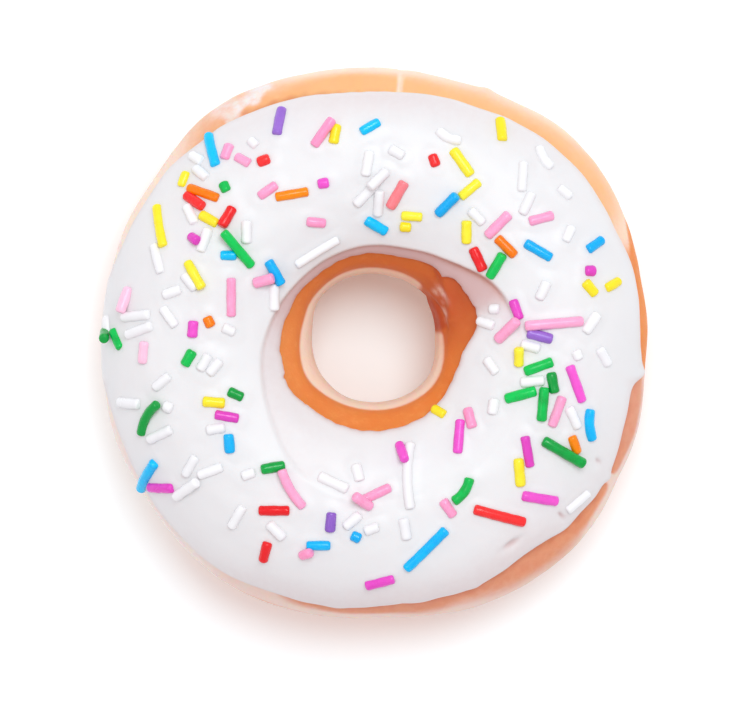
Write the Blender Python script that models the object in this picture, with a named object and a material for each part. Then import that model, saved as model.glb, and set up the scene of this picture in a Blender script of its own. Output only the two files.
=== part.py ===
"""A raised ring doughnut with a coat of white icing, resting on its flat base.

Metres, +Z up, with the ring's axis along Z and the base at z = 0. An angle goes anticlockwise
from +X seen from above. A turn goes round one section of the ring: 0 is the widest point
outside, 90 the crest, 180 the narrowest point of the hole and 270 the middle of the base.
Both are in degrees, and the sizes below are in millimetres.
"""

import math

import bmesh
import bpy

MM = 0.001

# The dough ring
CORE_RADIUS = 28.5
WIDEST_HEIGHT = 14.5
CREST_HEIGHT = 28.8
CREST_LEAN = 0.5
CREST_LEAN_ANGLE = 100
BASE_DEPTH = 0.6  # how far the section's round bottom would reach below the flat base
ROUNDNESS = 2.08  # the power of the section's curve, where 2 is an ellipse
GROOVE_DEPTH = 0.45
GROOVE_HALF_TURN = 7.0
GROOVE_TURNS = (-8.0, 188.0)  # the pale line where the two fried halves meet

# The icing
ICING_THICKNESS = 1.6
CREST_THICKENING = 1.4  # more on the flat top, level with the sprinkles that lie in it
CREST_WIDTH_POWER = 4  # the greater, the narrower the thickened top
ICING_LIP = 0.55  # what is left of the thickness at its very edge
ICING_ROUND = 2.0  # how far in from its edge the icing reaches full thickness
GAP = 0.3

# The grid
COLUMNS = 84
COVERED_STEPS = 12
WALL_STEPS = 3  # between the icing and a groove
BASE_STEPS = 9  # between the two grooves, under the ring
SLOPE_SPAN = 1.5  # how many degrees of turn either side the skin's slope is read over

# Outlines as (angle, radius), and the icing's edges as (angle, turn)
OUTSIDE = (
    (3, 45.6), (11, 45.4), (20, 46.0), (33, 47.15), (45, 47.4), (51, 47.2), (60, 46.05),
    (66, 45.95), (73, 45.45), (90, 45.7), (105, 46.15), (113, 46.7), (123, 47.35),
    (133, 46.8), (142, 45.8), (152, 45.9), (160, 45.75), (170, 45.35), (180, 45.45),
    (190, 45.8), (200, 46.4), (215, 46.45), (225, 46.95), (238, 47.65), (250, 47.3),
    (262, 46.65), (275, 46.25), (290, 47.6), (300, 47.95), (311, 48.15), (322, 47.5),
    (331, 46.6), (339, 46.5), (346, 46.0), (351, 45.45), (356, 45.3),
)
THROAT = (
    (5, 10.0), (35, 10.7), (50, 11.2), (80, 11.15), (105, 11.4), (130, 11.65), (150, 11.5),
    (167, 10.75), (190, 10.5), (215, 10.6), (240, 10.6), (270, 10.25), (300, 10.45),
    (325, 10.7), (340, 10.4), (350, 10.1),
)
ICING_OUTER = (
    (0, 33), (12, 29), (20, 31), (34, 39), (55, 40), (66, 44), (80, 44), (94, 47),
    (112, 43), (121, 42), (130, 37), (142, 30), (154, 28), (165, 23), (185, 23),
    (198, 28), (215, 28), (228, 31), (240, 35), (256, 37), (272, 38), (290, 41), (303, 45),
    (313, 43), (326, 35), (344, 39), (350, 37), (356, 31),
)
ICING_INNER = (
    (0, 133), (10, 126), (18, 124), (28, 127), (38, 128), (45, 136), (53, 134), (66, 139),
    (100, 141), (130, 141), (150, 137), (170, 132), (185, 130), (201, 129), (215, 131),
    (228, 134), (270, 135), (305, 136), (335, 138), (350, 136),
)

# Colours are linear
DOUGH_COLOUR = (0.60, 0.27, 0.09, 1.0)
ICING_COLOUR = (0.86, 0.82, 0.82, 1.0)
DOUGH_ROUGHNESS = 0.6
ICING_ROUGHNESS = 0.3


def around(points, angle):
    """The value at this angle of a smooth closed curve through points of (angle, value)."""
    count = len(points)
    angle %= 360
    before = max((k for k in range(count) if points[k][0] <= angle), default=count - 1)
    near = [points[(before + k) % count] for k in (-1, 0, 1, 2)]
    places = [place for place, _ in near]
    values = [value for _, value in near]
    steps = [(places[k + 1] - places[k]) % 360 for k in range(3)]
    slope_here = (values[2] - values[0]) / (steps[0] + steps[1])
    slope_next = (values[3] - values[1]) / (steps[1] + steps[2])
    step = steps[1]
    t = ((angle - places[1]) % 360) / step
    return (
        (2 * t**3 - 3 * t**2 + 1) * values[1]
        + (t**3 - 2 * t**2 + t) * step * slope_here
        + (3 * t**2 - 2 * t**3) * values[2]
        + (t**3 - t**2) * step * slope_next
    )


def groove(turn):
    """How far the pale line round the dough pulls its skin in."""
    depth = 0.0
    for centre in GROOVE_TURNS:
        off = (turn - centre + 180) % 360 - 180
        depth += GROOVE_DEPTH * math.exp(-((off / GROOVE_HALF_TURN) ** 2))
    return depth


def skin(angle, turn):
    """Radius and height of the dough's skin, before the base is flattened."""
    across = math.cos(math.radians(turn))
    upward = math.sin(math.radians(turn))
    outer = around(OUTSIDE, angle) - CORE_RADIUS
    inner = CORE_RADIUS - around(THROAT, angle)
    half_width = outer if across > 0 else inner
    crest = CREST_HEIGHT + CREST_LEAN * math.cos(math.radians(angle - CREST_LEAN_ANGLE))
    half_height = crest - WIDEST_HEIGHT if upward > 0 else WIDEST_HEIGHT + BASE_DEPTH
    reach = half_width * abs(across) ** (2 / ROUNDNESS) - groove(turn)
    rise = half_height * abs(upward) ** (2 / ROUNDNESS)
    return (
        CORE_RADIUS + math.copysign(reach, across),
        WIDEST_HEIGHT + math.copysign(rise, upward),
    )


def raised(angle, turn, offset):
    """A point this far outside the dough's skin, square to it in its section."""
    radius, height = skin(angle, turn)
    radius_before, height_before = skin(angle, turn - SLOPE_SPAN)
    radius_after, height_after = skin(angle, turn + SLOPE_SPAN)
    along = (radius_after - radius_before, height_after - height_before)
    length = math.hypot(*along)
    return (
        radius + offset * along[1] / length,
        height - offset * along[0] / length,
    )


def place(angle, radius, height):
    """Scene coordinates of a point of a section, on or above the base."""
    turned = math.radians(angle)
    return (
        radius * math.cos(turned) * MM,
        radius * math.sin(turned) * MM,
        max(height, 0.0) * MM,
    )


def covered_turns(angle):
    """Turns under the icing, from its outer edge to its inner one, closer near both."""
    first = around(ICING_OUTER, angle)
    last = around(ICING_INNER, angle)
    shares = [(1 - math.cos(math.pi * k / COVERED_STEPS)) / 2 for k in range(COVERED_STEPS + 1)]
    return [first + (last - first) * share for share in shares]


def bare_turns(angle):
    """Turns of the bare dough, from the icing's inner edge under the ring to its outer edge."""
    icing_ends = around(ICING_INNER, angle)
    icing_starts = 360 + around(ICING_OUTER, angle)
    inner_groove = GROOVE_TURNS[1]
    outer_groove = 360 + GROOVE_TURNS[0]
    half = GROOVE_HALF_TURN
    stretches = (
        (icing_ends, inner_groove - half, WALL_STEPS),
        (inner_groove - half, inner_groove, 1),
        (inner_groove, inner_groove + half, 1),
        (inner_groove + half, outer_groove - half, BASE_STEPS),
        (outer_groove - half, outer_groove, 1),
        (outer_groove, icing_starts, WALL_STEPS),
    )
    turns = []
    for start, end, steps in stretches:
        turns += [start + (end - start) * (k + 1) / steps for k in range(steps)]
    return turns[:-1]


def dough_section(angle):
    turns = covered_turns(angle) + bare_turns(angle)
    return [place(angle, *skin(angle, turn)) for turn in turns]


def icing_section(angle):
    """The icing's upper surface from outer to inner edge, then its underside back again."""
    turns = covered_turns(angle)
    feet = [skin(angle, turn) for turn in turns]
    from_outer = [0.0]
    for here, after in zip(feet, feet[1:]):
        from_outer.append(from_outer[-1] + math.dist(here, after))
    upper = []
    for turn, reach in zip(turns, from_outer):
        edge = min(1.0, min(reach, from_outer[-1] - reach) / ICING_ROUND)
        rounding = math.sqrt(1 - (1 - edge) ** 2)
        on_crest = math.sin(math.radians(turn)) ** CREST_WIDTH_POWER
        full = ICING_THICKNESS + CREST_THICKENING * on_crest
        thickness = full * (ICING_LIP + (1 - ICING_LIP) * rounding)
        upper.append(place(angle, *raised(angle, turn, GAP + thickness)))
    under = [place(angle, *raised(angle, turn, GAP)) for turn in reversed(turns)]
    return upper + under


def principled(name, colour, roughness):
    material = bpy.data.materials.new(name)
    material.use_nodes = True
    shader = material.node_tree.nodes["Principled BSDF"]
    shader.inputs["Base Color"].default_value = colour
    shader.inputs["Roughness"].default_value = roughness
    shader.inputs["Metallic"].default_value = 0.0
    return material


def closed_ring(name, section, material):
    """A ring skinned over one closed section for each column."""
    shape = bmesh.new()
    loops = []
    for column in range(COLUMNS):
        points = section(360 * column / COLUMNS)
        loops.append([shape.verts.new(point) for point in points])
    for loop, following in zip(loops, loops[1:] + loops[:1]):
        count = len(loop)
        for k in range(count):
            after = (k + 1) % count
            shape.faces.new((loop[k], loop[after], following[after], following[k]))
    bmesh.ops.recalc_face_normals(shape, faces=shape.faces)
    mesh = bpy.data.meshes.new(name)
    shape.to_mesh(mesh)
    shape.free()
    mesh.shade_smooth()
    mesh.materials.append(material)
    ring = bpy.data.objects.new(name, mesh)
    bpy.context.scene.collection.objects.link(ring)
    return ring


def centre(pieces):
    """Moves the pieces together so that the whole is centred on the Z axis."""
    corners = [vertex.co for piece in pieces for vertex in piece.data.vertices]
    for axis in (0, 1):
        low = min(corner[axis] for corner in corners)
        high = max(corner[axis] for corner in corners)
        for piece in pieces:
            piece.location[axis] = -(low + high) / 2


def build():
    for left_over in list(bpy.data.objects):
        bpy.data.objects.remove(left_over, do_unlink=True)
    dough = closed_ring("dough_ring", dough_section, principled("dough", DOUGH_COLOUR, DOUGH_ROUGHNESS))
    icing = closed_ring("white_icing", icing_section, principled("icing", ICING_COLOUR, ICING_ROUGHNESS))
    centre((dough, icing))


build()
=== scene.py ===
"""The looks of an iced ring doughnut with sugar sprinkles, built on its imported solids.

Millimetres until a mesh is made, +Z up. The ring's skin is described by an angle round its
axis, anticlockwise from +X seen from above, and a turn round its section: 0 points outward,
90 up, 180 into the hole and 270 down. Both are in degrees. A reach is how far the skin lies
from the core, a circle that runs through the middle of the dough.
"""

import math

import bpy
import numpy as np
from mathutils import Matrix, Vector
from mathutils.bvhtree import BVHTree


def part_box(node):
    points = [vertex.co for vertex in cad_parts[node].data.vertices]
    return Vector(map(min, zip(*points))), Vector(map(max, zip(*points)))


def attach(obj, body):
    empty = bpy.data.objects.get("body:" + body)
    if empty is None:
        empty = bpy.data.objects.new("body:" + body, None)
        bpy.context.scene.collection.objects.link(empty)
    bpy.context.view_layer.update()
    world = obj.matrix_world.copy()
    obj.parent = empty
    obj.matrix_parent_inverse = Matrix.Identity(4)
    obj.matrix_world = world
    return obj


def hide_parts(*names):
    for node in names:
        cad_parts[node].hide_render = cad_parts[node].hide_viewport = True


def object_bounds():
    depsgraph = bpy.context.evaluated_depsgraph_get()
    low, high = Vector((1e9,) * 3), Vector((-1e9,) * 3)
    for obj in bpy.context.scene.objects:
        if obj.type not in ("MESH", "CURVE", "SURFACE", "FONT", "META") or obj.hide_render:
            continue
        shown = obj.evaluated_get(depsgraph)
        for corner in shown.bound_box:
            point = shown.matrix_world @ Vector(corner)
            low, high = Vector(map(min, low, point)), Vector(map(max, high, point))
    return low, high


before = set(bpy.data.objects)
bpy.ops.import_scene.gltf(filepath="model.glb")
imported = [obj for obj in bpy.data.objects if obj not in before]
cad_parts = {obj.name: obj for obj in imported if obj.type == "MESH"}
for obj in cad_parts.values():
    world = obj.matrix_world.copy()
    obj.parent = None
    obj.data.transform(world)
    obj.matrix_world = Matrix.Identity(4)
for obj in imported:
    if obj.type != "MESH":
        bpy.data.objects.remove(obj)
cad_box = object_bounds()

MM = 0.001

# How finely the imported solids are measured, and how finely the pieces are made
MEASURED_ANGLES = 336
MEASURED_TURNS = 180
FARTHEST_SKIN = 21.0  # no part of a section lies farther from the core than this
COLUMNS = 480
ICING_ROWS = 150
ICING_UNDER_ROWS = 12
BARE_ROWS = 170
COVERED_ROWS = 30
TUCKED = 5.0  # how many degrees of turn of the fine rows lie under the icing

# The icing
COAT = 1.55
THIN_COAT = 0.6  # what is left below the lip round the hole
LIP_ROUND = 1.5  # how far in from its edge the coat reaches full thickness
LIP_SHARE = 0.3  # how much of the coat stands at the very edge
UNDER = 0.35  # how far the coat's hidden underside sinks into the dough

# Sugar sprinkles
ROD_RADIUS = 0.86
ROD_SINK = 0.8  # how deep a sprinkle lies in the icing
ROD_SIDES = 14

# The coat's thickness low on the outside: (angle, thickness)
SIDE_COAT = (
    (0, 0.9), (60, 1.0), (120, 0.9), (136, 0.6), (150, 0.45), (162, 0.3), (175, 0.25),
    (190, 0.3), (205, 0.45), (240, 0.5), (255, 0.6), (275, 0.9), (330, 0.7),
)
# How far in from the dough's outline the icing ends, seen from above: (angle, inset). Where
# it reaches past the outline the inset is negative.
ICING_INSET = (
    (0, 1.6), (5, 1.7), (10, 1.5), (15, 1.4), (20, 1.9), (25, 2.65), (30, 3.15), (38, 3.5),
    (46, 3.85), (54, 3.75), (60, 3.5), (66, 3.85), (78, 3.95), (87, 4.55), (100, 4.65),
    (105, 4.4), (114, 4.3), (120, 4.1), (126, 3.6), (130, 3.3), (135, 2.4), (140, 1.65),
    (147, 1.35), (155, 1.2), (160, 0.8), (165, 0.1), (170, -0.5), (185, -0.5), (190, 0.2),
    (195, 0.85), (200, 1.2), (215, 0.95), (225, 1.15), (235, 1.6), (245, 2.2), (250, 2.35),
    (257, 2.1), (268, 2.1), (275, 2.5), (280, 2.7), (286, 3.4), (293, 3.8), (300, 4.5),
    (308, 4.85), (312, 4.5), (315.5, 3.6), (320, 3.35), (325, 2.65), (328, 2.5), (332, 2.3),
    (335, 2.55), (342, 2.95), (347, 2.8), (351, 2.3), (355, 1.2),
)
# Where the icing ends round the hole, seen from above: (angle, radius)
HOLE_RIM = (
    (0, 14.95), (5, 16.0), (10, 16.7), (17, 17.1), (24, 16.95), (36, 16.6), (41, 16.1),
    (45, 15.5), (52, 15.65), (60, 15.25), (70, 14.65), (90, 14.6), (120, 14.5), (135, 14.5),
    (145, 14.8), (160, 14.9), (170, 15.2), (182, 15.4), (195, 15.35), (207, 15.7), (214, 15.45),
    (223, 14.95), (240, 14.5), (260, 14.35), (290, 14.25), (305, 14.35), (330, 14.05),
    (345, 14.05), (353, 14.2),
)
# How strongly the icing near its outer edge is tinted pinkish grey, partly the dough showing through and
# partly painted shade: (angle, strength)
OUTER_BLUSH_AND_SHADE = (
    (0, 0.0), (40, 0.1), (60, 0.25), (80, 0.35), (100, 0.33), (120, 0.22), (150, 0.1), (180, 0.0),
    (205, 0.0), (225, 0.12), (240, 0.28), (260, 0.36), (285, 0.36), (305, 0.36), (320, 0.25),
    (340, 0.1),
)
# Dents near the outer edge: (angle, radius, half-width round the ring, half-width across)
DENTS = ((304.2, 39.8, 2.8, 0.65), (317.2, 41.9, 0.6, 1.0), (332.0, 41.5, 0.5, 0.7))
LOWEST_EDGE = -9.0  # the turn at which the icing ends where it runs farthest under the waist

# The icing turns over into the hole along this lip: (angle, radius, depth of the step, strength of the
# painted shade along the crease below the lip)
LIP = (
    (0, 24.0, 0.0, 0.0), (12, 23.0, 0.4, 0.1), (20, 22.2, 0.8, 0.5), (30, 20.8, 1.05, 0.9),
    (40, 18.9, 1.1, 0.9), (50, 17.6, 1.05, 0.7), (60, 16.8, 1.0, 0.5), (70, 16.2, 1.0, 0.35),
    (90, 15.87, 0.95, 0.25), (110, 15.72, 0.95, 0.2), (130, 15.78, 0.9, 0.15),
    (150, 16.3, 0.85, 0.1), (160, 16.8, 0.8, 0.1), (170, 17.4, 0.65, 0.1), (185, 18.6, 0.5, 0.05),
    (200, 19.6, 0.45, 0.05), (215, 21.0, 0.4, 0.0), (240, 24.4, 0.3, 0.0), (255, 25.5, 0.2, 0.0),
    (275, 26.0, 0.1, 0.0), (330, 25.5, 0.1, 0.0),
)

# Short stretches where the icing's edge strays: (angle, half-width, how far it runs on)
OUTER_STRAYS = (
    (85.5, 0.8, -0.15), (93.3, 0.7, -0.3), (103, 1.0, 0.15), (118, 1.5, -0.15), (262, 1.5, 0.15),
    (276, 0.8, -0.2), (292.4, 0.8, 0.3), (330, 0.9, 1.1), (353.3, 1.5, 1.5),
)
INNER_STRAYS = (
    (44.6, 1.2, 0.25), (39, 2.0, -0.15), (30, 2.5, 0.15), (19, 1.5, -0.2), (200.5, 1.5, -0.35),
    (212, 2.0, -0.1), (185, 3.5, -0.1), (221, 1.2, -0.15),
)

# The pale line round the dough's waist: (angle, turn of its lower edge, turn of its upper edge,
# strength). Where it is faint its edges are soft.
PALE_OUTSIDE = (
    (0, 18, 28, 0.0), (17, 20, 32, 0.0), (21, 17, 36, 0.65), (25, 10, 38, 0.68),
    (29, -4, 28, 0.58), (33, -18, 22, 0.55), (50, -22, 20, 0.75), (65, -22, 22, 0.75),
    (110, -22, 22, 0.75), (118, -21, 26, 0.55), (130, -20, 30, 0.55), (138, -18, 38, 0.8),
    (145, -16, 45, 1.0), (235, -10, 45, 1.0), (240, 4, 34, 0.95), (246, 7, 30, 0.95),
    (251, 7, 21, 0.95), (258, 6, 18, 1.0), (272, 5, 16, 1.0), (281, 2, 15, 0.9),
    (288, -12, 20, 0.9), (296, -20, 18, 0.85), (302, -20, 16.5, 0.85), (316, -20, 15, 0.85),
    (318.5, -18, 16, 0.95), (325, -18, 17, 1.0), (332, -16, 15, 1.0), (340, -13, 13, 1.0),
    (346, -7, 13, 0.95), (350, -1, 13, 0.9), (353, 6, 16, 0.85), (357, 22, 32, 0.0),
)
# Where the same pale band starts in the hole, and how strong it is: (angle, turn of its upper
# edge, strength)
PALE_INSIDE = (
    (0, 164, 0.7), (12, 166, 0.7), (50, 166, 0.8), (75, 165.5, 0.8), (110, 165.5, 0.85),
    (135, 165.5, 0.9), (150, 164, 0.95), (165, 161.5, 1.0), (185, 159, 1.05), (210, 158.5, 1.1),
    (222, 161.5, 1.1), (240, 165, 1.1), (270, 165.5, 1.1), (300, 165, 1.05), (330, 163, 0.9),
)
# The crust's tone: (angle, how golden it is above the waist, how golden it is in the hole, how strong the
# painted shade on the hole's wall is, how rosy it is outside, where the cream also takes a darker copy as
# painted shade)
TONE = (
    (0, 0.0, 0.0, 0.45, 0.0), (10, 0.0, 0.0, 0.6, 0.0), (20, 0.2, 0.0, 0.75, 0.0),
    (30, 1.0, 0.0, 0.85, 0.0), (45, 1.0, 0.0, 0.7, 0.0), (60, 1.0, 0.0, 0.45, 0.0),
    (75, 1.0, 0.0, 0.4, 0.0), (104, 1.0, 0.0, 0.35, 0.0), (116, 0.7, 0.0, 0.3, 0.0),
    (122, 0.8, 0.0, 0.3, 0.25), (132, 0.7, 0.05, 0.25, 0.35), (150, 0.9, 0.1, 0.15, 0.0),
    (185, 0.8, 0.15, 0.0, 0.0), (215, 0.6, 0.1, 0.05, 0.4), (240, 0.2, 0.1, 0.0, 1.0),
    (270, 0.0, 0.05, 0.0, 1.0), (290, 0.0, 0.05, 0.0, 0.9), (306, 0.0, 0.05, 0.0, 0.85),
    (320, 0.0, 0.0, 0.0, 0.7), (330, 0.0, 0.0, 0.1, 0.8), (340, 0.0, 0.0, 0.1, 1.0),
    (351, 0.0, 0.0, 0.25, 0.9), (356, 0.0, 0.0, 0.35, 0.0),
)

# How strongly the crust just below the icing's outer edge is darkened as painted shade: (angle, strength)
EDGE_SHADE = (
    (0, 0.1), (30, 0.05), (90, 0.08), (98, 0.25), (106, 0.4), (119, 0.45), (123, 0.0), (240, 0.0),
    (260, 0.15), (290, 0.28), (328, 0.34), (350, 0.2),
)


def smooth(low, high, value):
    """0 below low, 1 above high and an even rise between them."""
    share = np.clip((value - low) / (high - low), 0.0, 1.0)
    return share * share * (3 - 2 * share)


def bell(offset, half_width):
    """1 at no offset, fading evenly to nothing past the half-width."""
    return np.exp(-((offset / half_width) ** 2))


def past(angle, centre):
    """How many degrees an angle lies past a centre, from -180 to 180."""
    return (angle - centre + 180) % 360 - 180


def around(points, angle, column=1):
    """Values at these angles of a smooth closed curve through rows of (angle, value, ...)."""
    places = np.array([point[0] for point in points], float)
    values = np.array([point[column] for point in points], float)
    order = np.argsort(places)
    places, values = places[order], values[order]
    places = np.concatenate((places[-2:] - 360, places, places[:2] + 360))
    values = np.concatenate((values[-2:], values, values[:2]))
    slopes = np.gradient(values, places)
    angle = angle % 360
    here = np.clip(np.searchsorted(places, angle, side="right") - 1, 1, len(places) - 3)
    step = places[here + 1] - places[here]
    t = (angle - places[here]) / step
    return (
        (2 * t**3 - 3 * t**2 + 1) * values[here]
        + (t**3 - 2 * t**2 + t) * step * slopes[here]
        + (3 * t**2 - 2 * t**3) * values[here + 1]
        + (t**3 - t**2) * step * slopes[here + 1]
    )


def ripples(points, size, seed, waves=28):
    """A smooth random field over points, mostly from -1 to 1, with swells of this size."""
    draw = np.random.default_rng(seed)
    total = np.zeros(points.shape[:-1])
    for _ in range(waves):
        way = draw.normal(size=3)
        way *= 2 * np.pi / (size * draw.uniform(0.7, 1.7) * np.linalg.norm(way))
        total += np.sin(points @ way + draw.uniform(0, 2 * np.pi))
    return total / math.sqrt(2 * waves)


# ---------------------------------------------------------------- the ring as packed


def solid_tree(node):
    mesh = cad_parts[node].data
    corners = [vertex.co / MM for vertex in mesh.vertices]
    return BVHTree.FromPolygons(corners, [tuple(face.vertices) for face in mesh.polygons])


def across_the_middle(tree, height):
    """Radii of the hole and of the outside at this height, averaged round the ring."""
    holes, outsides = [], []
    for angle in range(0, 360, 10):
        way = Vector((math.cos(math.radians(angle)), math.sin(math.radians(angle)), 0.0))
        centre = Vector((0.0, 0.0, height))
        holes.append(tree.ray_cast(centre, way)[3])
        outsides.append(100.0 - tree.ray_cast(centre + 100.0 * way, -way)[3])
    return sum(holes) / len(holes), sum(outsides) / len(outsides)


dough_tree = solid_tree("dough_ring")
icing_tree = solid_tree("white_icing")
dough_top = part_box("dough_ring")[1].z / MM
CORE_HEIGHT = dough_top / 2
CORE_RADIUS = sum(across_the_middle(dough_tree, CORE_HEIGHT)) / 2


def ring_points(angle, turn, reach):
    """Points this far from the core, none of them below the table."""
    turned, raised = np.radians(angle), np.radians(turn)
    radius = CORE_RADIUS + reach * np.cos(raised)
    height = CORE_HEIGHT + reach * np.sin(raised)
    return np.stack((radius * np.cos(turned), radius * np.sin(turned), np.maximum(height, 0)), -1)


def first_face(tree, angle, turn):
    """How far from the core a solid's first face lies in one direction, or None."""
    start = Vector(ring_points(angle, turn, 0.0))
    way = Vector(ring_points(angle, turn, 1.0)) - start
    return tree.ray_cast(start, way, FARTHEST_SKIN)[3]


def softened(field, turn_blur, angle_blur):
    """A field that repeats both ways, blurred by these numbers of samples."""
    spectrum = np.fft.fft2(field)
    turn_waves = np.fft.fftfreq(field.shape[0])[:, None]
    angle_waves = np.fft.fftfreq(field.shape[1])[None, :]
    blurs = (turn_waves * turn_blur) ** 2 + (angle_waves * angle_blur) ** 2
    return np.fft.ifft2(spectrum * np.exp(-2 * np.pi**2 * blurs)).real


def sampled(field, angle, turn):
    """Values between the samples of a field that repeats both ways."""
    rows, columns = field.shape
    down = (turn % 360) * rows / 360
    along = (angle % 360) * columns / 360
    row, column = np.floor(down).astype(int), np.floor(along).astype(int)
    down, along = down - row, along - column
    row, next_row = row % rows, (row + 1) % rows
    column, next_column = column % columns, (column + 1) % columns
    here = field[row, column] * (1 - along) + field[row, next_column] * along
    below = field[next_row, column] * (1 - along) + field[next_row, next_column] * along
    return here * (1 - down) + below * down


def measure_dough():
    angles = np.arange(MEASURED_ANGLES) * 360 / MEASURED_ANGLES
    turns = np.arange(MEASURED_TURNS) * 360 / MEASURED_TURNS
    field = np.array([[first_face(dough_tree, a, t) for a in angles] for t in turns], float)
    return softened(field, 1.2, 2.2)


DOUGH_FIELD = measure_dough()


def wander(angle, strays, seed):
    """How far an edge of the icing runs on, in its strays and in a slight wander."""
    beside = ring_points(angle, np.zeros_like(angle), 15.0)
    run_on = 0.09 * ripples(beside, 6.0, seed) + 0.02 * ripples(beside, 1.6, seed + 1)
    for centre, half_width, further in strays:
        run_on = run_on + further * bell(past(angle, centre), half_width)
    return run_on


def full_coat(angle, turn):
    """The coat's thickness away from its edges, before it turns over into the hole."""
    side = around(SIDE_COAT, angle)
    return side + (COAT - side) * smooth(15, 70, turn)


def rounding(from_edge):
    """The share of the coat that stands this far in from its edge."""
    nearness = np.clip(from_edge / LIP_ROUND, 0, 1)
    return LIP_SHARE + (1 - LIP_SHARE) * np.sqrt(1 - (1 - nearness) ** 2)


def edges_seen_at(radii, candidates, inward):
    """The candidate turns where the icing must end to be seen ending at these radii.

    Inward is 1 for the outer edge, where the coat lies at greater turns, and -1 for the inner.
    """
    angle = COLUMN_ANGLES[:, None, None]
    edge = candidates[None, :, None]
    from_edge = np.linspace(0, LIP_ROUND, 9)
    turn = edge + inward * np.degrees(from_edge / sampled(DOUGH_FIELD, angle, edge))
    coat = full_coat(angle, turn)
    if inward < 0:
        coat = coat - np.maximum(around(LIP, angle, 2), 0.0) * (COAT - THIN_COAT)
    reach = sampled(DOUGH_FIELD, angle, turn) + coat * rounding(from_edge)
    reached = inward * (CORE_RADIUS + reach * np.cos(np.radians(turn)))
    seen = inward * reached.max(axis=-1)
    order = -seen + 0.001 * candidates[None, :]
    return np.array([np.interp(-r, row, candidates) for r, row in zip(radii, order)])


def outer_edges():
    """The turns at which the icing ends outside, for every column."""
    turns = np.arange(LOWEST_EDGE, 80.0, 0.5)
    bare = sampled(DOUGH_FIELD, COLUMN_ANGLES[:, None], turns[None, :]) * np.cos(np.radians(turns))
    insets = around(ICING_INSET, COLUMN_ANGLES) - wander(COLUMN_ANGLES, OUTER_STRAYS, 3)
    edges = edges_seen_at(CORE_RADIUS + bare.max(axis=1) - insets, turns, 1)
    edges = np.maximum(edges, LOWEST_EDGE * bell(past(COLUMN_ANGLES, 178), 13))
    return softened(edges[None, :], 0, 1.0)[0]


def inner_edges():
    """The turns at which the icing ends in the hole, for every column."""
    rims = around(HOLE_RIM, COLUMN_ANGLES) - wander(COLUMN_ANGLES, INNER_STRAYS, 5)
    return edges_seen_at(rims, np.arange(100.0, 175.0, 0.5), -1)


COLUMN_ANGLES = np.arange(COLUMNS) * 360 / COLUMNS
OUTER_EDGE = outer_edges()[:, None]
INNER_EDGE = inner_edges()[:, None]


# ---------------------------------------------------------------- meshes


def add_piece(name, mesh, replaced=None):
    mesh.shade_smooth()
    piece = bpy.data.objects.new(name, mesh)
    bpy.context.scene.collection.objects.link(piece)
    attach(piece, "root")
    if replaced:
        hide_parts(replaced)
    return piece


def mesh_of(name, points, faces, marks=None):
    """A mesh of points in millimetres, with named numbers on its points."""
    mesh = bpy.data.meshes.new(name)
    mesh.from_pydata((points * MM).tolist(), [], faces)
    for mark, values in (marks or {}).items():
        layer = mesh.attributes.new(mark, "FLOAT", "POINT")
        layer.data.foreach_set("value", values.ravel().astype(np.float32))
    return mesh


def ring_faces(columns, loop):
    """Quads of a closed ring whose columns each hold one loop of points, facing outward."""
    here = np.arange(columns)[:, None] * loop
    after = (np.arange(1, columns + 1)[:, None] % columns) * loop
    k = np.arange(loop)[None, :]
    following = (k + 1) % loop
    quads = np.stack((here + k, after + k, after + following, here + following), -1)
    return quads.reshape(-1, 4).tolist()


# ---------------------------------------------------------------- icing


def icing_relief(angle, points):
    """Soft swells, the dent near the edge and the step at the lip, and the icing's marks, which paint
    shade along the crease below the lip and in the dents.
    """
    radius = np.hypot(points[..., 0], points[..., 1])
    depth = np.maximum(around(LIP, angle, 2), 0.0)
    inside = around(LIP, angle) - radius
    past_lip = depth * smooth(-0.6, 0.6, inside)
    swells = 0.13 * ripples(points, 16.0, 11) + 0.035 * ripples(points, 4.5, 12)
    dents = np.zeros_like(radius)
    for centre, place, half_angle, half_width in DENTS:
        dents = np.maximum(dents, bell(past(angle, centre), half_angle) * bell(radius - place, half_width))
    rise = 0.3 * bell(past(angle, 309.5), 2.6) * bell(radius - 40.5, 1.4)
    # Painted shade: a darker line along the crease below the lip
    blush_and_shade = around(LIP, angle, 3)
    crease_shade = blush_and_shade * bell(inside - 0.3, 0.35 + 0.4 * blush_and_shade)
    # The see-through mark: the thinner coat past the lip, and painted shade in the dents
    marks = {"thin_and_shade": np.maximum(past_lip**1.5, 0.7 * dents), "crease_shade": np.maximum(crease_shade, 0)}
    return swells - 0.6 * dents + rise - past_lip * (COAT - THIN_COAT), marks


def edge_distance(edge, turn, foot):
    """How far inside an edge the icing's points lie, steep stretches of the edge included."""
    run = edge[:, 0] * np.radians(15.0)
    along = np.radians(360 / COLUMNS) * (CORE_RADIUS + 12.0)
    slope = (np.roll(run, -1) - np.roll(run, 1)) / (2 * along)
    return np.abs(np.radians(turn - edge)) * foot / np.sqrt(1 + slope[:, None] ** 2)


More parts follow.
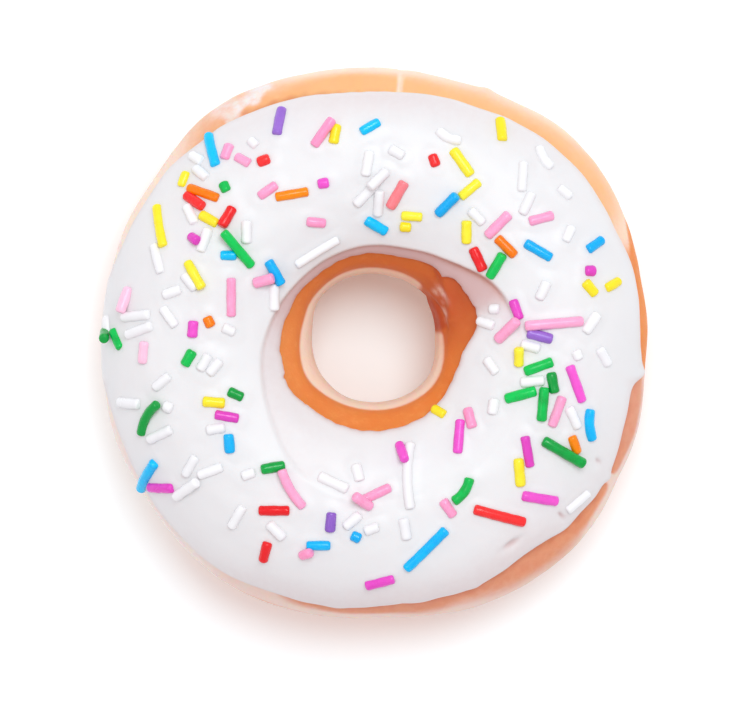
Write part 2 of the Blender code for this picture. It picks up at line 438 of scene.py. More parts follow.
def icing_surface(angle, turn):
    """Reaches of the icing's upper face at these turns, and its marks."""
    foot = sampled(DOUGH_FIELD, angle, turn)
    from_outer = edge_distance(OUTER_EDGE, turn, foot)
    from_edge = np.minimum(from_outer, edge_distance(INNER_EDGE, turn, foot))
    relief, marks = icing_relief(angle, ring_points(angle, turn, foot + 0.8 * COAT))
    # Near the outer edge a pinkish tint, partly dough through the coat and partly painted shade, and a
    # little painted shade along both edges
    blush_and_shade = np.maximum(around(OUTER_BLUSH_AND_SHADE, angle), 0.0) * smooth(8.5, 1.0, from_outer)
    marks["thin_and_shade"] = np.maximum(marks["thin_and_shade"], np.maximum(blush_and_shade, 0.4 * smooth(2.8, 0.0, from_edge)))
    coat = np.maximum(full_coat(angle, turn) + relief, 0.3)
    return foot + coat * rounding(from_edge), marks


def icing_grid():
    """Angles and turns of the icing's upper face, closer together near both edges."""
    share = (1 - np.cos(np.pi * np.linspace(0, 1, ICING_ROWS))) / 2
    share = 0.5 * share + 0.5 * np.linspace(0, 1, ICING_ROWS)
    turn = OUTER_EDGE + (INNER_EDGE - OUTER_EDGE) * share[None, :]
    return np.broadcast_to(COLUMN_ANGLES[:, None], turn.shape), turn


def icing_underside(angle, turn):
    """Points hidden in the dough under the icing, from its inner edge back to its outer one."""
    picks = np.linspace(ICING_ROWS - 1, 0, ICING_UNDER_ROWS).round().astype(int)
    angle, turn = angle[:, picks], turn[:, picks]
    return ring_points(angle, turn, sampled(DOUGH_FIELD, angle, turn) - UNDER)


# ---------------------------------------------------------------- sprinkles

# Each is (x, y, heading in degrees, length as seen from above), some with a sideways bend.
SPRINKLES = {
    "white": (
        (-29.2, 30.2, 150, 2.5), (-28.4, 27.7, 140, 3.0), (-30.0, 20.9, 115, 3.7),
        (-27.7, 16.7, 70, 4.4), (-20.9, 18.0, 90, 4.1), (-35.5, 13.7, 105, 5.3),
        (-30.1, 9.9, 130, 3.6), (-33.0, 8.2, 20, 3.4), (-33.5, 4.2, 125, 4.2),
        (-39.1, 4.4, 5, 5.1), (-38.5, 2.0, 20, 4.9), (-44.1, 2.6, 95, 3.9),
        (-9.5, 14.9, 32, 8.6), (-16.5, 7.5, 90, 4.8), (-1.2, 29.1, 80, 4.5),
        (-1.5, 24.1, 45, 5.2), (0.6, 22.7, 85, 4.4), (-19.8, 32.5, 135, 2.0),
        (-23.8, 2.1, 155, 2.5), (12.0, 33.5, 155, 4.5, 0.5), (3.5, 30.9, 150, 3.0),
        (0.5, 26.5, 45, 4.4), (27.6, 30.2, 120, 4.5, 0.4), (24.0, 27.0, 85, 5.3),
        (30.9, 24.5, 140, 3.0), (24.7, 22.6, 65, 4.3), (16.5, 20.5, 135, 3.6),
        (31.5, 17.7, 65, 3.1), (27.3, 8.5, 65, 3.6), (35.2, 3.2, 55, 4.1),
        (19.5, 5.5, 0, 2.0), (18.1, 3.2, 160, 3.2), (19.0, -3.8, 125, 3.4),
        (25.3, -0.6, 165, 3.5), (25.6, -6.3, 5, 4.3), (32.9, -2.0, 115, 2.0),
        (37.3, -2.3, 120, 3.6), (32.3, -12.2, 115, 4.2), (33.2, -26.0, 40, 5.1),
        (19.3, -10.4, 80, 3.0), (5.5, -21.6, 90, 11.3, 0.5), (4.9, -30.3, 100, 3.9),
        (-40.3, -9.9, 175, 4.1), (-34.7, -6.4, 40, 3.7), (-35.1, -15.0, 25, 4.7),
        (-33.7, -10.5, 155, 2.0), (-25.9, -14.0, 10, 3.4), (-27.8, -3.2, 60, 3.3),
        (-26.1, -4.0, 50, 3.4), (-30.1, -20.1, 60, 4.1), (-26.8, -20.9, 20, 4.6),
        (-30.9, -24.0, 35, 5.1), (-20.6, -21.4, 20, 2.6), (-22.5, -28.4, 60, 4.4),
        (-16.1, -30.6, 135, 3.9), (-6.8, -22.8, 155, 5.6), (-2.8, -21.2, 105, 3.2),
        (-3.7, -29.0, 40, 3.7), (-0.6, -30.3, 20, 2.8),
    ),
    "yellow": (
        (-6.5, 33.9, 80, 3.6), (-31.2, 26.7, 70, 3.0), (-27.0, 20.1, 150, 3.7),
        (-35.2, 19.1, 100, 7.3), (-29.3, 11.0, 120, 5.5), (20.6, 34.8, 95, 4.1),
        (14.1, 29.3, 125, 5.6), (15.4, 24.9, 40, 4.5), (5.0, 18.9, 175, 2.2),
        (6.0, 20.6, 175, 3.8), (14.9, 18.0, 90, 4.1), (35.0, 8.9, 130, 3.2),
        (38.8, 9.5, 30, 3.0), (23.4, -2.3, 90, 3.4), (23.5, -21.1, 95, 5.0),
        (10.5, -11.3, 150, 2.6), (-26.2, -9.7, 175, 4.0),
    ),
    "blue": (
        (-0.8, 35.1, 30, 3.9), (-26.7, 31.6, 105, 6.0), (-23.8, 14.2, 0, 3.0),
        (-16.3, 11.4, 120, 4.8), (0.2, 19.1, 150, 4.3), (11.7, 22.4, 45, 4.9),
        (26.5, 15.0, 150, 5.4), (35.9, 16.0, 35, 3.5), (35.1, -13.4, 95, 5.5, 0.4),
        (8.3, -33.7, 45, 9.7), (-23.7, -16.4, 95, 3.5), (-37.7, -22.1, 58, 6.0),
        (-9.2, -33.0, 0, 4.3), (-3.1, -31.6, 155, 2.0),
    ),
    "orange": (
        (-28.0, 24.4, 160, 5.8), (-13.5, 24.1, 10, 5.8), (-27.0, 3.4, 115, 2.2),
        (21.3, 15.6, 135, 4.6), (32.5, -16.6, 110, 3.4),
    ),
    "red": (
        (-18.1, 29.6, 20, 2.5), (-29.4, 23.1, 145, 4.0), (-24.0, 20.4, 60, 4.0),
        (9.6, 29.6, 110, 2.5), (16.8, 13.6, 115, 4.5), (20.3, -28.2, 165, 9.1),
        (-16.4, -27.3, 0, 5.4), (-17.9, -34.1, 75, 3.7),
    ),
    "green": (
        (-24.4, 25.3, 115, 2.0), (-22.3, 15.2, 130, 7.7), (-42.4, 0.6, 115, 3.7),
        (-44.5, 1.3, 90, 2.0), (19.7, 12.5, 60, 4.8), (26.6, -3.9, 20, 5.3),
        (28.9, -6.5, 100, 3.8), (23.7, -8.5, 15, 5.6), (27.3, -10.0, 85, 5.9),
        (30.8, -17.9, 150, 8.3), (14.3, -24.1, 55, 5.1, -0.5), (-30.3, -2.5, 60, 3.2),
        (-37.1, -12.3, 60, 6.3, 0.6), (-22.7, -8.4, 155, 3.0), (-16.6, -20.3, 10, 4.3),
    ),
    "purple": (
        (-15.6, 36.1, 80, 5.0), (26.8, 1.1, 165, 4.6), (-7.2, -29.2, 85, 3.6),
    ),
    "magenta": (
        (-8.4, 25.9, 10, 2.2), (-29.4, 16.9, 145, 2.0), (-29.6, 2.2, 85, 3.1),
        (23.0, 5.4, 110, 3.8), (35.0, 11.7, 0, 2.0), (32.7, -6.7, 110, 6.7),
        (24.8, -17.7, 100, 5.5), (26.9, -25.4, 170, 6.4), (4.4, -17.8, 110, 3.3),
        (13.7, -15.3, 85, 5.9), (-24.1, -12.0, 170, 4.3), (0.8, -39.1, 15, 5.2),
        (-35.1, -23.8, 0, 4.4),
    ),
    "pink": (
        (-8.4, 34.2, 55, 5.8), (-24.1, 31.1, 70, 3.0), (-21.5, 29.7, 150, 3.0),
        (-17.4, 24.7, 35, 3.9), (-9.6, 19.6, 175, 3.5), (-18.1, 10.1, 15, 3.7),
        (-23.4, 7.4, 90, 6.7), (20.0, 19.1, 45, 5.6), (27.0, 20.2, 15, 4.5),
        (29.1, 3.1, 5, 10.0), (21.5, 2.0, 45, 5.0), (29.6, -11.2, 70, 5.6),
        (11.9, -26.9, 125, 3.6), (15.5, -12.3, 105, 3.7), (-13.6, -23.8, 120, 7.5, 0.4),
        (-0.0, -24.7, 25, 6.0), (-2.0, -25.8, 145, 3.8),
        (-11.2, -34.4, 20, 2.3),
    ),
    "pale_pink": (
        (-41.0, 7.0, 70, 4.7), (-37.7, -1.6, 85, 4.0),
    ),
    "salmon": (
        (3.6, 24.0, 60, 5.3),
    ),
}
ROD_STEPS = 9


def lie_on(tree, x, y):
    """The icing's point and normal under a place seen from above."""
    point, normal, _, _ = tree.ray_cast(Vector((x, y, 60.0)), Vector((0, 0, -1)))
    if point is None:
        point, normal, _, _ = tree.find_nearest(Vector((x, y, CORE_HEIGHT + 4)))
    return point, normal


def lay_rod(tree, x, y, heading, length, bend=0.0):
    """The middle line of a sprinkle that lies in the icing, nearly straight."""
    foot, normal = lie_on(tree, x, y)
    flat = Vector((math.cos(math.radians(heading)), math.sin(math.radians(heading)), 0.0))
    along = Vector((flat.x, flat.y, -flat.dot(normal) / max(normal.z, 0.4))).normalized()
    side = normal.cross(along)
    true_length = length / max(along.to_2d().length, 0.55)
    half = true_length / 2 - 0.35 * ROD_RADIUS
    centre = foot + normal * (ROD_RADIUS - ROD_SINK)
    line = []
    for share in np.linspace(-1, 1, ROD_STEPS):
        straight = centre + along * (share * half) + side * (bend * (0.5 - share * share))
        below, up, _, _ = tree.find_nearest(straight)
        draped = below + up * (ROD_RADIUS - ROD_SINK) - straight
        line.append(straight + draped * min(0.7, 0.6 / max(draped.length, 0.01)))
    return np.array(line)


def lifted(line, others):
    """The same sprinkle, tipped up where it lies across others."""
    need = np.zeros(ROD_STEPS)
    closest = 1.55 * ROD_RADIUS
    for other in others:
        apart = line[:, None, :] - other[None, :, :]
        level = np.hypot(apart[..., 0], apart[..., 1])
        clear = np.sqrt(np.maximum(closest**2 - level**2, 0)) * (level < closest)
        need = np.maximum(need, np.max(np.where(level < closest, clear - apart[..., 2], 0), axis=1))
    if need.max() <= 0:
        return line
    worst = int(need.argmax())
    share = np.linspace(0, 1, ROD_STEPS)
    if worst < ROD_STEPS // 2:
        share = share[::-1]
    slope = np.minimum(need[worst] / share[worst], 1.5 * need[worst])
    base = max(need[worst] - slope * share[worst], 0.0)
    raised = line.copy()
    raised[:, 2] += base + slope * share
    return raised


def lay_all(tree):
    """Every sprinkle's middle line, by colour. Later ones lie on earlier ones."""
    laid = {}
    placed = []
    for colour, rods in SPRINKLES.items():
        laid[colour] = []
        for rod in rods:
            line = lifted(lay_rod(tree, *rod), placed)
            placed.append(line)
            laid[colour].append(line)
    return laid


def rod_mesh(line, draw):
    """Points and faces of one sprinkle round its middle line, with rounded ends."""
    thickness = ROD_RADIUS * draw.uniform(0.92, 1.06)
    rounding = 0.5 * thickness
    steps = np.diff(line, axis=0)
    reach = np.concatenate(([0.0], np.cumsum(np.linalg.norm(steps, axis=1))))
    bevel = np.radians(np.linspace(0, 90, 5))
    start = rounding * (0.7 - np.cos(bevel))
    middle = np.linspace(start[-1], reach[-1] - start[-1], ROD_STEPS)[1:-1]
    stations = np.concatenate((start, middle, reach[-1] - start[::-1]))
    widths = thickness - rounding + rounding * np.sin(bevel)
    widths = np.concatenate((widths, np.full(len(middle), thickness), widths[::-1]))
    swell = 1 + 0.03 * np.sin(stations * draw.uniform(1.5, 3) + draw.uniform(0, 6))
    centres = np.stack([np.interp(stations, reach, line[:, k]) for k in range(3)], -1)
    first_way = steps[0] / np.linalg.norm(steps[0])
    last_way = steps[-1] / np.linalg.norm(steps[-1])
    centres += np.minimum(stations, 0)[:, None] * first_way
    centres += np.maximum(stations - reach[-1], 0)[:, None] * last_way
    ways = np.gradient(centres, axis=0)
    ways /= np.linalg.norm(ways, axis=1)[:, None]
    side = np.cross(ways, (0.0, 0.0, 1.0))
    side /= np.linalg.norm(side, axis=1)[:, None]
    up = np.cross(side, ways)
    turns = np.arange(ROD_SIDES) * 2 * np.pi / ROD_SIDES
    ring = np.cos(turns)[None, :, None] * side[:, None, :] + np.sin(turns)[None, :, None] * up[:, None, :]
    points = centres[:, None, :] + ring * (widths * swell)[:, None, None]
    count = len(stations)
    here = np.arange(count - 1)[:, None] * ROD_SIDES
    k = np.arange(ROD_SIDES)[None, :]
    after = (k + 1) % ROD_SIDES
    quads = np.stack((here + k, here + after, here + after + ROD_SIDES, here + k + ROD_SIDES), -1)
    faces = quads.reshape(-1, 4).tolist()
    faces.append(list(range(ROD_SIDES))[::-1])
    faces.append([(count - 1) * ROD_SIDES + side for side in range(ROD_SIDES)])
    return points.reshape(-1, 3), faces


def sprinkle_piece(colour, lines, seed):
    draw = np.random.default_rng(seed)
    points, faces = [], []
    tints = []
    for line in lines:
        rod, rod_faces = rod_mesh(line, draw)
        offset = sum(len(part) for part in points)
        faces += [[offset + corner for corner in face] for face in rod_faces]
        points.append(rod)
        tints.append(np.full(len(rod), draw.uniform()))
    mesh = mesh_of(colour, np.concatenate(points), faces, {"tint": np.concatenate(tints)})
    return add_piece("sprinkles_" + colour, mesh)


def pressed_icing(points, laid):
    """The icing's points raised a little along every sprinkle that lies in it."""
    raised = points.copy()
    height = np.zeros(points.shape[:-1])
    for line in (line for lines in laid.values() for line in lines):
        middle = line.mean(axis=0)
        reach = np.linalg.norm(line[0] - middle) + 3.0
        near = np.linalg.norm(points - middle, axis=-1) < reach
        close = points[near]
        gap = np.linalg.norm(close[:, None, :] - line[None, :, :], axis=-1).min(axis=1)
        height[near] = np.maximum(height[near], 0.16 * bell(np.maximum(gap - ROD_RADIUS, 0), 0.9))
    raised[..., 2] += height
    return raised


# ---------------------------------------------------------------- materials


def node(tree, kind, links=(), **settings):
    """A shader node with its settings, and inputs given as (name or number, value or socket)."""
    made = tree.nodes.new("ShaderNode" + kind)
    for name, value in settings.items():
        setattr(made, name, value)
    for name, value in links:
        if isinstance(value, bpy.types.NodeSocket):
            tree.links.new(value, made.inputs[name])
        else:
            made.inputs[name].default_value = value
    return made


def blended(tree, share, first, second):
    """A colour that goes from the first to the second as the share goes from 0 to 1."""
    mixer = node(tree, "Mix", data_type="RGBA")
    for socket, value in ((0, share), (6, first), (7, second)):
        if isinstance(value, bpy.types.NodeSocket):
            tree.links.new(value, mixer.inputs[socket])
        else:
            mixer.inputs[socket].default_value = value
    return mixer.outputs[2]


def maths(tree, operation, first, second):
    return node(tree, "Math", ((0, first), (1, second)), operation=operation).outputs[0]


def ranged(tree, value, low, high, to_low=0.0, to_high=1.0):
    """A value's place between low and high, carried smoothly to another range."""
    links = (
        ("Value", value), ("From Min", low), ("From Max", high),
        ("To Min", to_low), ("To Max", to_high),
    )
    return node(tree, "MapRange", links, interpolation_type="SMOOTHSTEP").outputs["Result"]


def speckle(tree, scale, detail=3.0, roughness=0.55):
    """Noise through the object's own space, with this many swells in a metre."""
    coordinates = node(tree, "TexCoord").outputs["Object"]
    links = (("Vector", coordinates), ("Scale", scale), ("Detail", detail), ("Roughness", roughness))
    return node(tree, "TexNoise", links).outputs["Fac"]


def mark(tree, name):
    return node(tree, "Attribute", attribute_name=name).outputs["Fac"]


def fresh_material(name):
    material = bpy.data.materials.new(name)
    material.use_nodes = True
    tree = material.node_tree
    return material, tree, tree.nodes["Principled BSDF"]


def bumped(tree, shader, height, strength, distance):
    links = (("Height", height), ("Strength", strength), ("Distance", distance))
    tree.links.new(node(tree, "Bump", links).outputs["Normal"], shader.inputs["Normal"])


def icing_material():
    material, tree, shader = fresh_material("set_icing")
    cloud = speckle(tree, 90.0)
    fine = speckle(tree, 900.0, 4.0)
    white = blended(tree, cloud, (0.77, 0.755, 0.762, 1), (0.81, 0.795, 0.797, 1))
    # The pinkish mix is partly thin icing over dough and partly painted shade
    thin_and_shade = maths(tree, "ADD", mark(tree, "thin_and_shade"), maths(tree, "MULTIPLY", fine, 0.15))
    see_through = ranged(tree, thin_and_shade, 0.05, 1.1)
    colour = blended(tree, see_through, white, (0.64, 0.44, 0.43, 1))
    # Painted shade along the crease below the lip
    colour = blended(tree, mark(tree, "crease_shade"), colour, (0.60, 0.31, 0.25, 1))
    tree.links.new(colour, shader.inputs["Base Color"])
    tree.links.new(ranged(tree, cloud, 0.3, 0.7, 0.34, 0.46), shader.inputs["Roughness"])
    shader.inputs["Subsurface Weight"].default_value = 0.35
    shader.inputs["Subsurface Radius"].default_value = (1.0, 0.85, 0.8)
    shader.inputs["Subsurface Scale"].default_value = 1.2 * MM
    shader.inputs["Specular IOR Level"].default_value = 0.33
    bumped(tree, shader, fine, 0.08, 0.15 * MM)
    return material


def dough_material():
    material, tree, shader = fresh_material("fried_dough")
    broad = speckle(tree, 110.0, 3.0)
    fine = speckle(tree, 650.0, 5.0, 0.6)
    grain = speckle(tree, 2200.0, 2.0)
    brown = blended(tree, broad, (0.78, 0.21, 0.045, 1), (0.87, 0.28, 0.065, 1))
    golden = blended(tree, broad, (0.87, 0.43, 0.19, 1), (0.91, 0.50, 0.24, 1))
    mottle = ranged(tree, fine, 0.38, 0.62)
    rosy = blended(tree, mottle, (0.745, 0.30, 0.18, 1), (0.765, 0.33, 0.205, 1))
    crust = blended(tree, ranged(tree, fine, 0.45, 0.9), brown, (0.90, 0.33, 0.09, 1))
    crust = blended(tree, mark(tree, "golden"), crust, golden)
    crust = blended(tree, mark(tree, "rosy"), crust, rosy)
    # Painted shade: the crust goes dark red-brown where the wall lies in shade, at the fold and below the
    # icing's edges
    crust = blended(tree, mark(tree, "deep_shade"), crust, (0.52, 0.09, 0.03, 1))
    wavering = maths(tree, "ADD", mark(tree, "pale"), maths(tree, "MULTIPLY", fine, 0.25))
    cream = blended(tree, broad, (0.96, 0.70, 0.55, 1), (0.98, 0.77, 0.64, 1))
    # Painted shade: on the rosy side the cream takes a darker copy of itself
    cream = blended(tree, mark(tree, "rosy"), cream, (0.84, 0.63, 0.55, 1))
    colour = blended(tree, ranged(tree, wavering, 0.2, 1.05), crust, cream)
    smeared = maths(tree, "MULTIPLY", mark(tree, "torn"), ranged(tree, grain, 0.25, 0.6, 0.6, 1.0))
    colour = blended(tree, smeared, colour, (0.86, 0.60, 0.52, 1))
    film = maths(tree, "MULTIPLY", mark(tree, "film"), ranged(tree, fine, 0.3, 0.6, 0.55, 1.0))
    colour = blended(tree, film, colour, (0.86, 0.79, 0.79, 1))
    tree.links.new(colour, shader.inputs["Base Color"])
    tree.links.new(ranged(tree, fine, 0.3, 0.7, 0.42, 0.62), shader.inputs["Roughness"])
    shader.inputs["Subsurface Weight"].default_value = 0.5
    shader.inputs["Subsurface Radius"].default_value = (1.0, 0.25, 0.1)
    shader.inputs["Subsurface Scale"].default_value = 4.0 * MM
    shader.inputs["Specular IOR Level"].default_value = 0.14
    height = maths(tree, "ADD", fine, maths(tree, "MULTIPLY", grain, 0.3))
    bumped(tree, shader, height, 0.25, 0.3 * MM)
    return material


def candy_material(name, light, dark, see_through):
    """Hard sugar with a thin glaze: each sprinkle's own shade lies between two colours."""
    material, tree, shader = fresh_material(name)
    streak = speckle(tree, 700.0, 2.0)
    share = ranged(tree, maths(tree, "ADD", mark(tree, "tint"), streak), 0.35, 1.35)
    tree.links.new(blended(tree, share, light, dark), shader.inputs["Base Color"])
    tree.links.new(ranged(tree, streak, 0.3, 0.7, 0.16, 0.28), shader.inputs["Roughness"])
    shader.inputs["Specular IOR Level"].default_value = 0.36
    shader.inputs["Subsurface Weight"].default_value = see_through
    shader.inputs["Subsurface Radius"].default_value = (1.0, 1.0, 1.0)
    shader.inputs["Subsurface Scale"].default_value = 0.45 * MM
    bumped(tree, shader, streak, 0.1, 0.1 * MM)
    return material


# Linear colours, lighter and darker
CANDY = {
    "white": ((0.90, 0.89, 0.90, 1), (0.86, 0.85, 0.865, 1)),
    "yellow": ((0.98, 0.86, 0.05, 1), (0.95, 0.76, 0.02, 1)),
    "blue": ((0.0, 0.56, 0.95, 1), (0.0, 0.42, 0.86, 1)),
    "orange": ((1.0, 0.28, 0.0, 1), (0.92, 0.20, 0.0, 1)),
    "red": ((0.95, 0.035, 0.035, 1), (0.80, 0.01, 0.015, 1)),
    "green": ((0.0, 0.60, 0.10, 1), (0.0, 0.34, 0.05, 1)),
    "purple": ((0.38, 0.19, 0.68, 1), (0.28, 0.12, 0.55, 1)),
    "magenta": ((0.90, 0.11, 0.64, 1), (0.74, 0.06, 0.52, 1)),
    "pink": ((1.0, 0.42, 0.64, 1), (0.97, 0.32, 0.55, 1)),
    "pale_pink": ((1.0, 0.64, 0.78, 1), (0.98, 0.56, 0.72, 1)),
    "salmon": ((0.95, 0.24, 0.27, 1), (0.88, 0.19, 0.22, 1)),
}


def table_material():
    material, tree, shader = fresh_material("white_table")
    faint = speckle(tree, 12.0)
    colour = blended(tree, faint, (0.87, 0.935, 0.965, 1), (0.89, 0.955, 0.985, 1))
    tree.links.new(colour, shader.inputs["Base Color"])
    shader.inputs["Roughness"].default_value = 0.6
    shader.inputs["Specular IOR Level"].default_value = 0.2
    shader.inputs["Emission Color"].default_value = (1.0, 0.95, 0.86, 1)
    shader.inputs["Emission Strength"].default_value = 0.135
    return material


# ---------------------------------------------------------------- dough


# A fold in the hole's wall with a torn edge above it, as lines of (angle, radius)
TEAR = ((12, 12.0), (18, 12.3), (24, 12.9), (32, 13.7), (40, 14.3), (48, 14.9), (54, 15.2))
FOLD = ((6, 11.9), (16, 11.9), (30, 11.9), (45, 11.6), (52, 11.3))

# Smears of icing and torn crumb on the wall: (angle, half-width, radius, half-height, strength)
SMEARS = (
    (36, 6.0, 13.95, 0.42, 0.9), (24, 4.0, 12.55, 0.36, 0.8), (40, 3.0, 13.0, 0.3, 0.6),
    (17, 3.0, 12.1, 0.25, 0.5), (31, 2.0, 13.0, 0.25, 0.4),
)


def along_line(points, angle):
    """The radius of a line given by (angle, radius), held past its ends."""
    places, radii = zip(*points)
    return np.interp(past(angle, 0), places, radii)


def dough_relief(angle, turn, points):
    """Swells, wrinkles, the tear and the fold, and the dough's colour marks, some of which paint shade in
    the hole and below the icing's edges.
    """
    radius = np.hypot(points[..., 0], points[..., 1])
    turn = np.broadcast_to(turn, radius.shape)
    outside = past(turn, 0)
    in_hole = smooth(120, 135, turn) * smooth(205, 190, turn)
    swells = 0.10 * ripples(points, 13.0, 21) + 0.04 * ripples(points, 4.0, 22)
    relief = swells * (1 - 0.6 * in_hole)
    relief += 0.35 * bell(past(angle, 66), 1.6) * bell(outside - 6, 16)
    relief -= 0.12 * bell(past(angle, 84.5), 0.6) * bell(outside - 10, 25)
    upper_edge = around(PALE_INSIDE, angle)
    ledge = bell(turn - upper_edge - 15, 11) - 0.7 * bell(turn - upper_edge, 3)
    no_ledge = smooth(6, 12, past(angle, 0)) * smooth(54, 46, past(angle, 0))
    relief += 0.3 * ledge * (1 - no_ledge)
    relief += 0.5 * no_ledge * bell(turn - 192, 12)

    tear_zone = in_hole * smooth(11, 17, past(angle, 0)) * smooth(54, 46, past(angle, 0))
    from_tear = radius - along_line(TEAR, angle)
    fold_zone = in_hole * smooth(6, 14, past(angle, 0)) * smooth(54, 46, past(angle, 0))
    from_fold = radius - along_line(FOLD, angle)
    relief += tear_zone * (0.4 * bell(from_tear - 0.9, 0.9) - 0.15 * bell(from_tear, 0.5))
    relief -= fold_zone * 0.4 * bell(from_fold, 0.35)

    low, high, strength = (around(PALE_OUTSIDE, angle, column) for column in (1, 2, 3))
    high = high + 14 * bell(past(angle, 330), 1.1)
    strength = np.clip(strength, 0, 1)
    soft = 5 + 60 * np.maximum(1 - strength, 0)
    pale = strength * smooth(-3, 3, outside - low) * smooth(soft, -soft, outside - high)
    pale_inside = smooth(-2.5, 2.5, turn - upper_edge) * smooth(205, 192, turn)
    pale_inside = pale_inside * around(PALE_INSIDE, angle, 2)
    pale = np.maximum(pale * (np.abs(outside) < 90), pale_inside * (1 - fold_zone))
    pale = np.maximum(pale, 0.8 * bell(past(angle, 84.5), 0.7) * smooth(80, 40, np.abs(outside)))

    torn = np.zeros_like(radius)
    rough = ripples(points, 2.2, 31)
    for middle, half_width, height, half_height, strength in SMEARS:
        spread = (past(angle, middle) / half_width) ** 2 + ((radius - height) / half_height) ** 2
        torn = np.maximum(torn, strength * np.exp(-spread + 0.5 * rough))
    torn = np.clip(torn, 0, 1) * in_hole
    # Painted shade for the dark mark: below the icing's inner edge on the shaded side, at the foot of the
    # fold and on the hole's wall by the tone table
    under_icing = smooth(7, 1, turn - INNER_EDGE + 1.5 * rough) * (turn < 200)
    shaded = smooth(14, 20, angle % 360) * smooth(70, 56, angle % 360)
    deep_shade = np.maximum(fold_zone * smooth(0.25, -0.35, from_fold), 0.9 * under_icing * shaded)
    deep_shade = np.maximum(deep_shade, around(TONE, angle, 3) * in_hole)
    # Painted shade just below the icing's outer edge
    below_icing = OUTER_EDGE - outside + 1.5 * rough
    edge_line = smooth(7, 1, below_icing) * (np.abs(outside) < 90)
    edge_shade = np.clip(around(EDGE_SHADE, angle), 0, 1)
    deep_shade = np.maximum(deep_shade, edge_shade * edge_line)
    strayed = angle + 1.5 * ripples(points, 5.0, 32)
    film_top = 24 + 6 * smooth(112, 115, strayed) + 14 * smooth(119.5, 122, strayed) + 1.5 * rough
    film = smooth(110.8, 112.6, strayed) * smooth(125.8, 123.5, strayed)
    film = film * smooth(film_top, film_top - 5, outside) * smooth(-16, 6, outside + 4 * rough)
    film = film * (1 - bell(past(angle, 118.7), 2.2) * bell(outside - 11, 7))
    film = film * (1 - 0.35 * smooth(119.5, 121.5, strayed))
    dusty = smooth(150, 170, angle % 360) * smooth(240, 228, angle % 360)
    film = np.maximum(film, 0.6 * dusty * smooth(-14, -6, outside) * (outside < 90))
    golden = around(TONE, angle) * smooth(-3, 3, outside - low) * smooth(100, 80, outside)
    golden = np.maximum(golden, around(TONE, angle, 2) * in_hole)
    rosy = around(TONE, angle, 4) * (outside < 90) * smooth(-26, -4, outside)
    marks = {"pale": pale, "torn": torn, "deep_shade": deep_shade, "film": film, "golden": golden, "rosy": rosy}
    return relief, marks


def dough_grid():
    """Angles and turns of the dough, closer together where it is bare."""
    start = INNER_EDGE - TUCKED
    end = 360 + OUTER_EDGE + TUCKED
    bare = start + (end - start) * np.linspace(0, 1, BARE_ROWS)[None, :]
    hidden_share = np.linspace(0, 1, COVERED_ROWS + 2)[None, 1:-1]
    covered = end + (start + 360 - end) * hidden_share
    turn = np.concatenate((bare, covered), axis=1)
    return np.broadcast_to(COLUMN_ANGLES[:, None], turn.shape), turn


def make_dough():
    angle, turn = dough_grid()
    reach = sampled(DOUGH_FIELD, angle, turn)
    relief, marks = dough_relief(angle, turn, ring_points(angle, turn, reach))
    covered = smooth(1.0, 6.0, turn - 360 - OUTER_EDGE)
    covered = np.maximum(covered, smooth(1.0, 6.0, INNER_EDGE - turn))
    base = smooth(2.5, 0.5, ring_points(angle, turn, reach)[..., 2])
    points = ring_points(angle, turn, reach + relief * (1 - covered) * (1 - base))
    mesh = mesh_of("dough", points.reshape(-1, 3), ring_faces(*turn.shape), marks)
    piece = add_piece("dough", mesh, "dough_ring")
    piece.data.materials.append(dough_material())


def make_icing_and_sprinkles():
    angle, turn = icing_grid()
    reach, marks = icing_surface(angle, turn)
    upper = ring_points(angle, turn, reach)
    under = icing_underside(angle, turn)
    loop = ICING_ROWS + ICING_UNDER_ROWS
    tree = BVHTree.FromPolygons(
        np.concatenate((upper, under), axis=1).reshape(-1, 3).tolist(), ring_faces(COLUMNS, loop)
    )
    laid = lay_all(tree)
    points = np.concatenate((pressed_icing(upper, laid), under), axis=1)
    for name, values in marks.items():
        marks[name] = np.concatenate((values, np.zeros(under.shape[:2])), axis=1)
    mesh = mesh_of("icing", points.reshape(-1, 3), ring_faces(COLUMNS, loop), marks)
    piece = add_piece("icing", mesh, "white_icing")
    piece.data.materials.append(icing_material())
    for seed, (colour, lines) in enumerate(laid.items()):
        sprinkles = sprinkle_piece(colour, lines, seed)
        see_through = 0.1 if colour == "white" else 0.35
        material = candy_material("candy_" + colour, *CANDY[colour], see_through)
        sprinkles.data.materials.append(material)


# ---------------------------------------------------------------- table, lights and camera


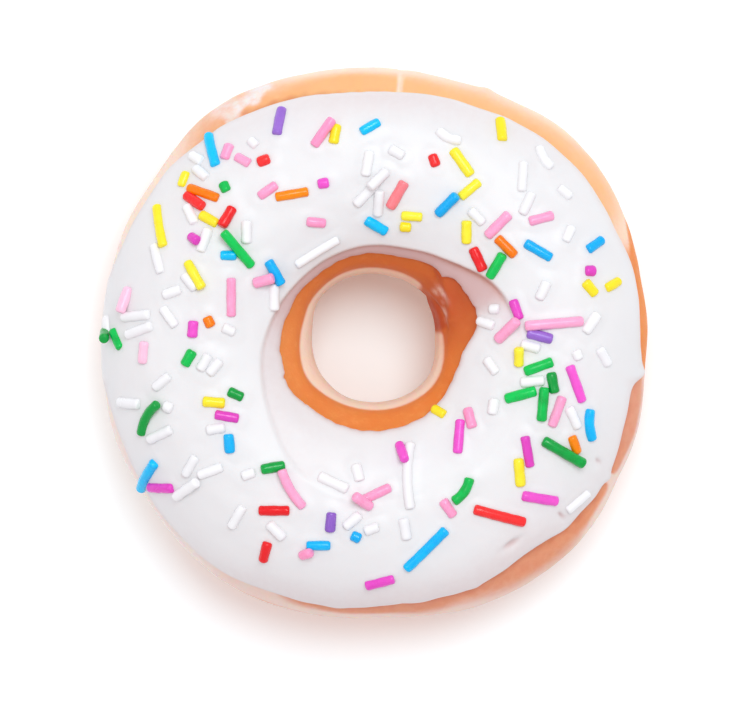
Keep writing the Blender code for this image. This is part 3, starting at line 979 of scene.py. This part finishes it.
def make_table():
    mesh = bpy.data.meshes.new("table")
    half = 1.5
    corners = [(-half, -half, 0), (half, -half, 0), (half, half, 0), (-half, half, 0)]
    mesh.from_pydata(corners, [], [(0, 1, 2, 3)])
    mesh.materials.append(table_material())
    table = bpy.data.objects.new("table", mesh)
    bpy.context.scene.collection.objects.link(table)


def add_lamp(name, bearing, elevation, distance, size, energy, colour):
    """A round soft light that shines on the ring from this direction, in degrees."""
    lamp = bpy.data.lights.new(name, "AREA")
    lamp.shape = "DISK"
    lamp.size = size
    lamp.energy = energy
    lamp.color = colour
    light = bpy.data.objects.new(name, lamp)
    turned, raised = math.radians(bearing), math.radians(elevation)
    away = Vector((
        math.cos(raised) * math.cos(turned),
        math.cos(raised) * math.sin(turned),
        math.sin(raised),
    ))
    light.location = away * distance
    light.rotation_euler = away.to_track_quat("Z", "Y").to_euler()
    bpy.context.scene.collection.objects.link(light)


def make_lights():
    world = bpy.data.worlds.new("studio")
    world.use_nodes = True
    sky = world.node_tree.nodes["Background"]
    sky.inputs["Color"].default_value = (1.0, 0.93, 0.955, 1)
    sky.inputs["Strength"].default_value = 0.69
    bpy.context.scene.world = world
    add_lamp("window", 65, 70, 1.1, 0.6, 6.3, (0.88, 1.0, 1.02))
    add_lamp("reflector", 190, 50, 1.1, 0.6, 0.9, (1.0, 1.0, 1.0))


def make_camera():
    """Straight above the ring, at arm's length."""
    low, high = (np.array(corner) for corner in cad_box)
    width_at_waist = 125.0 * MM
    distance = 635.0 * MM
    data = bpy.data.cameras.new("camera")
    data.sensor_width = 36.0
    data.lens = data.sensor_width * distance / width_at_waist
    camera = bpy.data.objects.new("camera", data)
    camera.location = (
        (low[0] + high[0]) / 2,
        (low[1] + high[1]) / 2 - 1.75 * MM,
        CORE_HEIGHT * MM + distance,
    )
    bpy.context.scene.collection.objects.link(camera)
    bpy.context.scene.camera = camera
    bpy.context.scene.view_settings.view_transform = "Standard"


make_dough()
make_icing_and_sprinkles()
make_table()
make_lights()
make_camera()
